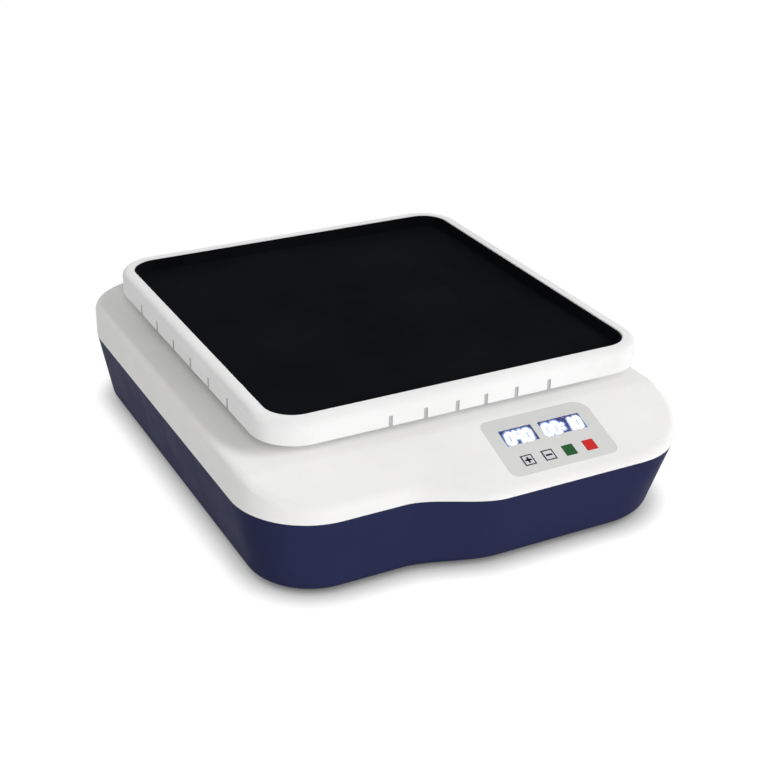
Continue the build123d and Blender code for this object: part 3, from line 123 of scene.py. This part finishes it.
# The lines of each digit, as shares of its width and height
DIGITS = {
    "0": (((0.3, 0), (0.7, 0), (1, 0.15), (1, 0.85), (0.7, 1), (0.3, 1), (0, 0.85), (0, 0.15), (0.3, 0)),),
    "1": (((1, 0), (1, 1)),),
    "4": (((0, 1), (0, 0.5), (1, 0.5)), ((1, 0), (1, 1))),
}

# Noise in the materials: its usual range, the scales of drift, gloss and ripple, and how far gloss strays
NOISE_RANGE = (0.3, 0.7)
DRIFT_SCALE = 9.0
GLOSS_SCALE = 55.0
RIPPLE_SCALE = 38.0
RIPPLE_DEPTH = 0.02 * MM
GLOSS_SHIFT = 0.04
METAL_GLOSS_SCALE = 30.0
METAL_GLOSS_SHIFT = 0.06
FINE_GRAIN = 2600.0
FINE_DEPTH = 0.003 * MM
PEBBLE_SCALE = 1500.0
PEBBLE_DEPTH = 0.05 * MM
TRACK_SCALE = 260.0


class Shader:
    """A material's node tree with short calls for the nodes it uses."""

    def __init__(self, name):
        self.material = bpy.data.materials.new(name)
        self.material.use_nodes = True
        self.tree = self.material.node_tree
        self.tree.nodes.clear()
        self.output = self.add("ShaderNodeOutputMaterial")

    def add(self, kind, **settings):
        node = self.tree.nodes.new(kind)
        for key, value in settings.items():
            setattr(node, key, value)
        return node

    def link(self, source, target):
        self.tree.links.new(source, target)

    def noise(self, scale, detail=2.0, stretch=(1, 1, 1), roughness=0.5):
        """Noise in the object's own coordinates, drawn out along the axes that stretch makes small."""
        coordinates = self.add("ShaderNodeTexCoord")
        mapping = self.add("ShaderNodeMapping")
        mapping.inputs["Scale"].default_value = stretch
        noise = self.add("ShaderNodeTexNoise")
        noise.inputs["Scale"].default_value = scale
        noise.inputs["Detail"].default_value = detail
        noise.inputs["Roughness"].default_value = roughness
        self.link(coordinates.outputs["Object"], mapping.inputs["Vector"])
        self.link(mapping.outputs["Vector"], noise.inputs["Vector"])
        return noise.outputs["Fac"]

    def spread(self, source, low, high):
        """The source's middle range brought to low and high."""
        node = self.add("ShaderNodeMapRange")
        node.inputs["From Min"].default_value = NOISE_RANGE[0]
        node.inputs["From Max"].default_value = NOISE_RANGE[1]
        node.inputs["To Min"].default_value = low
        node.inputs["To Max"].default_value = high
        self.link(source, node.inputs["Value"])
        return node.outputs["Result"]

    def tone(self, source, color, shift):
        """The colour, a little darker to a little lighter as the source goes up."""
        return self.between(self.spread(source, 0, 1), tinted(color, 1 - shift), tinted(color, 1 + shift))

    def between(self, factor, first, second):
        node = self.add("ShaderNodeMix", data_type="RGBA")
        node.inputs["A"].default_value = (*first, 1)
        node.inputs["B"].default_value = (*second, 1)
        self.link(factor, node.inputs["Factor"])
        return node.outputs["Result"]

    def bump(self, height, depth, under=None):
        node = self.add("ShaderNodeBump")
        node.inputs["Strength"].default_value = 1.0
        node.inputs["Distance"].default_value = depth
        self.link(height, node.inputs["Height"])
        if under is not None:
            self.link(under, node.inputs["Normal"])
        return node.outputs["Normal"]

    def principled(self, **fixed):
        node = self.add("ShaderNodeBsdfPrincipled")
        for key, value in fixed.items():
            node.inputs[key.replace("_", " ")].default_value = value
        self.link(node.outputs["BSDF"], self.output.inputs["Surface"])
        return node.inputs


def tinted(color, share):
    return tuple(min(1.0, channel * share) for channel in color)


def moulded(name, color, roughness, grain=1400.0, grain_depth=0.006 * MM, shift=0.04, **fixed):
    """Moulded plastic or rubber: a fine moulded grain, with slow drifts of tone and gloss."""
    shader = Shader(name)
    surface = shader.principled(**fixed)
    drift = shader.noise(DRIFT_SCALE, 9.0, roughness=0.7)
    shader.link(shader.tone(drift, color, shift), surface["Base Color"])
    gloss = shader.spread(shader.noise(GLOSS_SCALE, 4.0), roughness - GLOSS_SHIFT, roughness + GLOSS_SHIFT)
    shader.link(gloss, surface["Roughness"])
    ripple = shader.bump(shader.noise(RIPPLE_SCALE, 1.0), RIPPLE_DEPTH)
    shader.link(shader.bump(shader.noise(grain, 2.0), grain_depth, ripple), surface["Normal"])
    return shader.material


def metal(name, color, roughness, stretch=(1, 12, 1), scale=160.0, depth=0.01 * MM, shift=0.08, **fixed):
    """Metal with a fine directional grain in tone, gloss and height."""
    shader = Shader(name)
    surface = shader.principled(Metallic=1.0, **fixed)
    grain = shader.noise(scale, 5.0, stretch)
    shader.link(shader.tone(grain, color, shift), surface["Base Color"])
    drift = shader.noise(METAL_GLOSS_SCALE, 3.0)
    gloss = shader.spread(drift, roughness - METAL_GLOSS_SHIFT, roughness + METAL_GLOSS_SHIFT)
    shader.link(gloss, surface["Roughness"])
    shader.link(shader.bump(grain, depth), surface["Normal"])
    return shader.material


def mat_rubber():
    """Matt black rubber with a pebbled face."""
    shader = Shader("mat_rubber")
    surface = shader.principled(Specular_IOR_Level=0.003, Diffuse_Roughness=1.0)
    color = (0.0054, 0.0058, 0.0068)
    drift = shader.noise(14.0, 4.0)
    shader.link(shader.between(shader.spread(drift, 0, 1), tinted(color, 0.8), tinted(color, 1.25)),
                surface["Base Color"])
    shader.link(shader.spread(shader.noise(120.0, 3.0), 0.56, 0.68), surface["Roughness"])
    coordinates = shader.add("ShaderNodeTexCoord")
    pebbles = shader.add("ShaderNodeTexVoronoi", feature="SMOOTH_F1")
    pebbles.inputs["Scale"].default_value = PEBBLE_SCALE
    shader.link(coordinates.outputs["Object"], pebbles.inputs["Vector"])
    shader.link(shader.bump(pebbles.outputs["Distance"], PEBBLE_DEPTH), surface["Normal"])
    return shader.material


def circuit_board():
    """Green solder mask with a fine pattern of tracks."""
    shader = Shader("circuit_board")
    surface = shader.principled(Roughness=0.35, Coat_Weight=0.4)
    coordinates = shader.add("ShaderNodeTexCoord")
    tracks = shader.add("ShaderNodeTexBrick")
    tracks.inputs["Scale"].default_value = TRACK_SCALE
    tracks.inputs["Color1"].default_value = (0.010, 0.085, 0.040, 1)
    tracks.inputs["Color2"].default_value = (0.014, 0.110, 0.050, 1)
    tracks.inputs["Mortar"].default_value = (0.030, 0.190, 0.085, 1)
    tracks.inputs["Mortar Size"].default_value = 0.03
    shader.link(coordinates.outputs["Object"], tracks.inputs["Vector"])
    shader.link(tracks.outputs["Color"], surface["Base Color"])
    shader.link(shader.bump(tracks.outputs["Fac"], RIPPLE_DEPTH), surface["Normal"])
    return shader.material


def window_film():
    """Clear film over a display, faintly uneven."""
    shader = Shader("window_film")
    surface = shader.principled(Transmission_Weight=1.0, IOR=1.12, Roughness=0.03)
    tone = shader.spread(shader.noise(60.0), 0, 1)
    shader.link(shader.between(tone, (0.90, 0.92, 0.98), (0.94, 0.95, 1.0)), surface["Base Color"])
    return shader.material


def display_face():
    """Backlit blue display: the glow attribute is 1 on a digit's strokes and falls off round them."""
    shader = Shader("display_face")
    surface = shader.principled(Roughness=0.3)
    glow = shader.add("ShaderNodeAttribute", attribute_name="glow")
    ramp = shader.add("ShaderNodeValToRGB")
    stops = ramp.color_ramp.elements
    stops.remove(stops[1])
    for index, (position, tone) in enumerate(DISPLAY_TONES):
        stop = stops.new(position) if index else stops[0]
        stop.position = position
        stop.color = (*tone, 1)
    shader.link(glow.outputs["Fac"], ramp.inputs["Fac"])
    shader.link(ramp.outputs["Color"], surface["Base Color"])
    shader.link(ramp.outputs["Color"], surface["Emission Color"])
    strength = shader.add("ShaderNodeMapRange")
    strength.inputs["To Min"].default_value = DISPLAY_SHINE[0]
    strength.inputs["To Max"].default_value = DISPLAY_SHINE[1]
    shader.link(glow.outputs["Fac"], strength.inputs["Value"])
    shader.link(strength.outputs["Result"], surface["Emission Strength"])
    return shader.material


def seen_rays(tree):
    """1 for the rays that show a background, straight or in a reflection or through glass."""
    path = tree.nodes.new("ShaderNodeLightPath")
    total = path.outputs["Is Camera Ray"]
    for kind in ("Is Glossy Ray", "Is Transmission Ray"):
        both = tree.nodes.new("ShaderNodeMath")
        both.operation = "MAXIMUM"
        tree.links.new(total, both.inputs[0])
        tree.links.new(path.outputs[kind], both.inputs[1])
        total = both.outputs["Value"]
    return total


def white_floor():
    """Pale floor that reads as white and takes the object's shadow, with a painted contact shadow, darkest
    where they meet.
    """
    shader = Shader("white_floor")
    shade = shader.add("ShaderNodeBsdfDiffuse")
    shade.inputs["Color"].default_value = (FLOOR_TONE, FLOOR_TONE, FLOOR_TONE, 1)
    seen = shader.add("ShaderNodeBsdfDiffuse")
    seen.inputs["Color"].default_value = (FLOOR_SEEN, FLOOR_SEEN, FLOOR_SEEN, 1)
    # Painted contact shadow: ambient occlusion dims the floor's seen glow near the object
    contact = shader.add("ShaderNodeAmbientOcclusion", samples=CONTACT_SAMPLES)
    contact.inputs["Distance"].default_value = CONTACT_REACH
    fade = shader.add("ShaderNodeMapRange")
    fade.inputs["To Max"].default_value = FLOOR_LIFT
    lift = shader.add("ShaderNodeEmission")
    total = shader.add("ShaderNodeAddShader")
    choice = shader.add("ShaderNodeMixShader")
    shader.link(contact.outputs["AO"], fade.inputs["Value"])
    shader.link(fade.outputs["Result"], lift.inputs["Strength"])
    shader.link(seen.outputs["BSDF"], total.inputs[0])
    shader.link(lift.outputs["Emission"], total.inputs[1])
    shader.link(seen_rays(shader.tree), choice.inputs["Fac"])
    shader.link(shade.outputs["BSDF"], choice.inputs[1])
    shader.link(total.outputs["Shader"], choice.inputs[2])
    shader.link(choice.outputs["Shader"], shader.output.inputs["Surface"])
    return shader.material


def pad(name, color):
    """Smooth moulded key pad."""
    return moulded(name, color, 0.40, FINE_GRAIN, FINE_DEPTH, 0.05, Specular_IOR_Level=0.2)


# Materials by the record's slot
CHALKY = {"Specular_IOR_Level": 0.1, "Diffuse_Roughness": 1.0}
MATERIALS = {
    "cover_plastic": moulded("cover_plastic", (0.87, 0.866, 0.858), 0.52, **CHALKY),
    "tray_plastic": moulded("tray_plastic", (0.86, 0.86, 0.856), 0.46, **CHALKY),
    "tub_plastic": moulded("tub_plastic", (0.024, 0.028, 0.077), 0.50, shift=0.08, Specular_IOR_Level=0.02),
    "liner_rubber": mat_rubber(),
    "overlay_film": moulded(
        "overlay_film", (0.71, 0.71, 0.70), 0.40, FINE_GRAIN, FINE_DEPTH, 0.02, Diffuse_Roughness=1.0
    ),
    "window_film": window_film(),
    "display_body": moulded("display_body", (0.03, 0.04, 0.18), 0.35),
    "key_grey": moulded("key_grey", (0.74, 0.73, 0.78), 0.38, FINE_GRAIN, FINE_DEPTH, 0.02),
    "key_green": pad("key_green", (0.013, 0.098, 0.025)),
    "key_red": pad("key_red", (0.68, 0.022, 0.021)),
    "circuit_board": circuit_board(),
    "black_plastic": moulded("black_plastic", (0.012, 0.012, 0.013), 0.38),
    "white_plastic": moulded("white_plastic", (0.78, 0.76, 0.68), 0.40),
    "sheet_steel": metal("sheet_steel", (0.56, 0.57, 0.60), 0.38, (3, 1, 1), 60.0),
    "screw_steel": metal("screw_steel", (0.55, 0.56, 0.58), 0.30, (1, 1, 6), 500.0),
    "bright_steel": metal("bright_steel", (0.66, 0.67, 0.69), 0.20, (8, 1, 8), 300.0, 0.003 * MM),
    "cast_aluminium": metal("cast_aluminium", (0.64, 0.65, 0.66), 0.42, (1, 6, 1), 220.0),
    "motor_metal": metal("motor_metal", (0.45, 0.46, 0.48), 0.34, (10, 1, 10), 120.0),
    "brass": metal("brass", (0.72, 0.52, 0.22), 0.30, (10, 1, 10), 260.0),
    "foot_rubber": moulded("foot_rubber", (0.010, 0.010, 0.010), 0.70, 900.0, 0.02 * MM),
}
PRINT_DARK = moulded(
    "print_dark", (0.006, 0.006, 0.012), 0.50, FINE_GRAIN, 0.002 * MM, Specular_IOR_Level=0.05
)
# Painted shade: the grey of the notches' shaded insides
NOTCH_PAINTED_SHADE = moulded("notch_painted_shade", (0.52, 0.52, 0.52), 0.50, Diffuse_Roughness=1.0)


def dress_cad_nodes():
    """Give every CAD node its slot's material."""
    for row in frame["record"]["subparts"]:
        node = frame["nodes"][row["node"]]
        node.data.materials.clear()
        node.data.materials.append(MATERIALS[row["material_slot"]])


def ramp_matrix(depth=0.0):
    """Frame of the sloping panel: X across, Y up the slope, Z out of it, some way under its surface."""
    angle = math.radians(RAMP_ANGLE)
    up_slope = Vector((0, math.cos(angle), math.sin(angle)))
    normal = Vector((0, -math.sin(angle), math.cos(angle)))
    origin = Vector((0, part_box("top_cover")[0].y, RAMP_FRONT_HEIGHT)) - normal * depth
    matrix = Matrix((Vector((1, 0, 0)), up_slope, normal)).transposed().to_4x4()
    matrix.translation = origin
    return matrix


def mesh_piece(name, points, faces, material, matrix):
    """A mesh object whose points are given in a local frame and kept in the row frame."""
    mesh = bpy.data.meshes.new(name)
    mesh.from_pydata([matrix @ Vector(point) for point in points], [], faces)
    mesh.materials.append(material)
    mesh.update()
    piece = bpy.data.objects.new(name, mesh)
    bpy.context.scene.collection.objects.link(piece)
    return piece


def plates(outlines, low, high):
    """Points and faces of flat plates with the given outlines, counter-clockwise from above."""
    points, faces = [], []
    for outline in outlines:
        start, count = len(points), len(outline)
        points += [(x, y, low) for x, y in outline] + [(x, y, high) for x, y in outline]
        faces.append(tuple(start + count + i for i in range(count)))
        faces.append(tuple(start + i for i in reversed(range(count))))
        for i in range(count):
            j = (i + 1) % count
            faces.append((start + i, start + j, start + count + j, start + count + i))
    return points, faces


def bar(x, y, width, height):
    """Outline of a rectangle about a centre."""
    return [
        (x - width / 2, y - height / 2), (x + width / 2, y - height / 2),
        (x + width / 2, y + height / 2), (x - width / 2, y + height / 2),
    ]


def frame_bars(x, y, width, height, line):
    """Four bars that make a rectangular line border, inside the given size."""
    side = height - 2 * line
    return [
        bar(x, y - (height - line) / 2, width, line), bar(x, y + (height - line) / 2, width, line),
        bar(x - (width - line) / 2, y, line, side), bar(x + (width - line) / 2, y, line, side),
    ]


def print_key(node, sign):
    """The printed border and sign of a key pad, riding on the key."""
    low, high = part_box(node)
    x = (low.x + high.x) / 2
    outlines = frame_bars(x, KEY_SLOPE, KEY_WIDTH, KEY_LENGTH, KEY_LINE)
    outlines.append(bar(x, KEY_SLOPE, SIGN_LENGTH, SIGN_WIDTH))
    if sign == "+":
        arm = (SIGN_LENGTH - SIGN_WIDTH) / 2
        for side in (-1, 1):
            outlines.append(bar(x, KEY_SLOPE + side * (SIGN_WIDTH + arm) / 2, SIGN_WIDTH, arm))
    base = KEY_PROUD + PRINT_LIFT
    points, faces = plates(outlines, base, base + PRINT_THICKNESS)
    piece = mesh_piece(f"{node}_print", points, faces, PRINT_DARK, ramp_matrix())
    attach(piece, node)


def distance_to_stroke(x, y, stroke):
    """Distance in the display's plane from a point to a line segment."""
    (ax, ay), (bx, by) = stroke
    dx, dy = bx - ax, by - ay
    share = ((x - ax) * dx + (y - ay) * dy) / max(dx * dx + dy * dy, 1e-12)
    share = min(1.0, max(0.0, share))
    return math.hypot(x - ax - share * dx, y - ay - share * dy)


def digit_strokes(text, centre):
    """Lines of a row of slanted digits, centred on the display; a colon is two dots."""
    advances = [COLON_ADVANCE if character == ":" else 1.0 for character in text]
    total = sum(advances) * DIGIT_PITCH
    strokes = []
    x = centre - total / 2
    for character, advance in zip(text, advances):
        middle = x + advance * DIGIT_PITCH / 2
        if character == ":":
            for level in COLON_LEVELS:
                y = (level - 0.5) * DIGIT_HEIGHT
                spot = (middle + y * DIGIT_SLANT, DISPLAY_SLOPE - DIGIT_DROP + y)
                strokes.append((spot, spot))
        else:
            for line in DIGITS[character]:
                ends = []
                for across, up in line:
                    y = (up - 0.5) * DIGIT_HEIGHT
                    x_end = middle + (across - 0.5) * DIGIT_WIDTH + y * DIGIT_SLANT
                    ends.append((x_end, DISPLAY_SLOPE - DIGIT_DROP + y))
                strokes.extend(zip(ends, ends[1:]))
        x += advance * DIGIT_PITCH
    return strokes


def make_display_face(node, text, material):
    """Lit face of a display: a fine grid over the display module with its glow round the digits."""
    low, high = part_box(node)
    centre = (low.x + high.x) / 2
    strokes = digit_strokes(text, centre)
    across = round((high.x - low.x) / FACE_STEP)
    up = round(DISPLAY_HEIGHT / FACE_STEP)
    points = [
        (low.x + i * FACE_STEP, DISPLAY_SLOPE + (j - up / 2) * FACE_STEP, 0)
        for j in range(up + 1) for i in range(across + 1)
    ]
    row = across + 1
    faces = [
        (j * row + i, j * row + i + 1, (j + 1) * row + i + 1, (j + 1) * row + i)
        for j in range(up) for i in range(across)
    ]
    piece = mesh_piece(f"{node}_face", points, faces, material, ramp_matrix(OVERLAY_THICKNESS + FACE_DEPTH))
    glow = piece.data.attributes.new("glow", "FLOAT", "POINT")
    for index, (x, y, _) in enumerate(points):
        nearest = min(distance_to_stroke(x, y, stroke) for stroke in strokes)
        glow.data[index].value = math.exp(-max(0.0, nearest - STROKE_HALF) / GLOW_REACH)
    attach(piece, "base")


def paint_notch_shade():
    """Painted shade: grey walls inside the notches of the tray's skirt, standing in for the shade there,
    riding on the tray.
    """
    low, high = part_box("tray")
    edges = (
        (Vector((0, low.y, low.z)), Vector((1, 0, 0)), Vector((0, 1, 0)), FRONT_NOTCHES),
        (Vector((0, high.y, low.z)), Vector((-1, 0, 0)), Vector((0, -1, 0)), FRONT_NOTCHES),
        (Vector((low.x, 0, low.z)), Vector((0, -1, 0)), Vector((1, 0, 0)), SIDE_NOTCHES),
        (Vector((high.x, 0, low.z)), Vector((0, 1, 0)), Vector((-1, 0, 0)), SIDE_NOTCHES),
    )
    half = NOTCH_WIDTH / 2 - SHADE_SHEET_GAP
    top = NOTCH_HEIGHT - SHADE_SHEET_GAP
    depth = SHADE_SHEET_END - SHADE_SHEET_START
    middle = (SHADE_SHEET_START + SHADE_SHEET_END) / 2
    all_points, all_faces = [], []
    for origin, across, inward, notches in edges:
        matrix = Matrix((across, inward, Vector((0, 0, 1)))).transposed().to_4x4()
        matrix.translation = origin
        walls, roofs = [], []
        for x in (side * notch for notch in notches for side in (-1, 1)):
            walls.append(bar(x, SHADE_SHEET_END - SHADE_SHEET_THICKNESS / 2, 2 * half, SHADE_SHEET_THICKNESS))
            for side in (-1, 1):
                walls.append(bar(x + side * (half - SHADE_SHEET_THICKNESS / 2), middle, SHADE_SHEET_THICKNESS, depth))
            roofs.append(bar(x, middle, 2 * half, depth))
        wall_top = top - SHADE_SHEET_THICKNESS
        for outlines, bottom, ceiling in ((walls, 0, wall_top), (roofs, wall_top, top)):
            points, faces = plates(outlines, bottom, ceiling)
            start = len(all_points)
            all_points += [matrix @ Vector(point) for point in points]
            all_faces += [tuple(start + i for i in face) for face in faces]
    # The grey sheets paint the shade inside the notches
    piece = mesh_piece("notch_painted_shade_sheets", all_points, all_faces, NOTCH_PAINTED_SHADE, Matrix.Identity(4))
    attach(piece, "platform")


def facing(azimuth, elevation):
    """Unit vector from the object toward an azimuth and elevation in degrees, as the lamps give them."""
    azimuth, elevation = math.radians(azimuth), math.radians(elevation)
    level = math.cos(elevation)
    return Vector((level * math.sin(azimuth), -level * math.cos(azimuth), math.sin(elevation)))


def make_camera():
    """The photograph's camera."""
    roll = math.radians(CAMERA_ROLL)
    forward = -facing(CAMERA_AZIMUTH, CAMERA_ELEVATION)
    right = forward.cross(Vector((0, 0, 1))).normalized()
    up = right.cross(forward)
    rolled_right = math.cos(roll) * right + math.sin(roll) * up
    rolled_up = math.cos(roll) * up - math.sin(roll) * right
    data = bpy.data.cameras.new("camera")
    data.sensor_width = SENSOR_WIDTH
    data.lens = FOCAL_PIXELS / IMAGE_WIDTH * SENSOR_WIDTH
    data.clip_start, data.clip_end = CLIP_RANGE
    camera = bpy.data.objects.new("camera", data)
    matrix = Matrix((rolled_right, rolled_up, -forward)).transposed().to_4x4()
    matrix.translation = Vector(CAMERA_PLACE)
    camera.matrix_world = matrix
    bpy.context.scene.collection.objects.link(camera)
    bpy.context.scene.camera = camera


def make_light(name, azimuth, elevation, diameter, watts):
    """Round soft lamp aimed at the object."""
    direction = facing(azimuth, elevation)
    data = bpy.data.lights.new(name, "AREA")
    data.shape = "DISK"
    data.size = diameter
    data.energy = watts
    light = bpy.data.objects.new(name, data)
    light.location = Vector((0, 0, LAMP_AIM_HEIGHT)) + LAMP_DISTANCE * direction
    light.rotation_mode = "QUATERNION"
    light.rotation_quaternion = direction.to_track_quat("Z", "Y")
    bpy.context.scene.collection.objects.link(light)


def make_studio():
    """Pale floor, white surroundings and soft lamps, two in front and one behind."""
    corners = [(x, y, 0) for x, y in bar(0, 0, 2 * FLOOR_REACH, 2 * FLOOR_REACH)]
    floor = mesh_piece("floor", corners, [(0, 1, 2, 3)], white_floor(), Matrix.Identity(4))
    world = bpy.data.worlds.new("studio")
    bpy.context.scene.world = world
    world.use_nodes = True
    nodes, links = world.node_tree.nodes, world.node_tree.links
    nodes.clear()
    light = nodes.new("ShaderNodeBackground")
    light.inputs["Strength"].default_value = WORLD_STRENGTH
    seen = nodes.new("ShaderNodeBackground")
    seen.inputs["Color"].default_value = (1, 1, 1, 1)
    seen.inputs["Strength"].default_value = 1.0
    choice = nodes.new("ShaderNodeMixShader")
    output = nodes.new("ShaderNodeOutputWorld")
    links.new(seen_rays(world.node_tree), choice.inputs["Fac"])
    links.new(light.outputs["Background"], choice.inputs[1])
    links.new(seen.outputs["Background"], choice.inputs[2])
    links.new(choice.outputs["Shader"], output.inputs["Surface"])
    for name, lamp in LAMPS.items():
        make_light(name, *lamp)


make_camera()
make_studio()
dress_cad_nodes()
print_key("key_plus", "+")
print_key("key_minus", "-")
face_material = display_face()
make_display_face("speed_display", "040", face_material)
make_display_face("time_display", "00:10", face_material)
paint_notch_shade()

bpy.context.scene.view_settings.view_transform = "Standard"
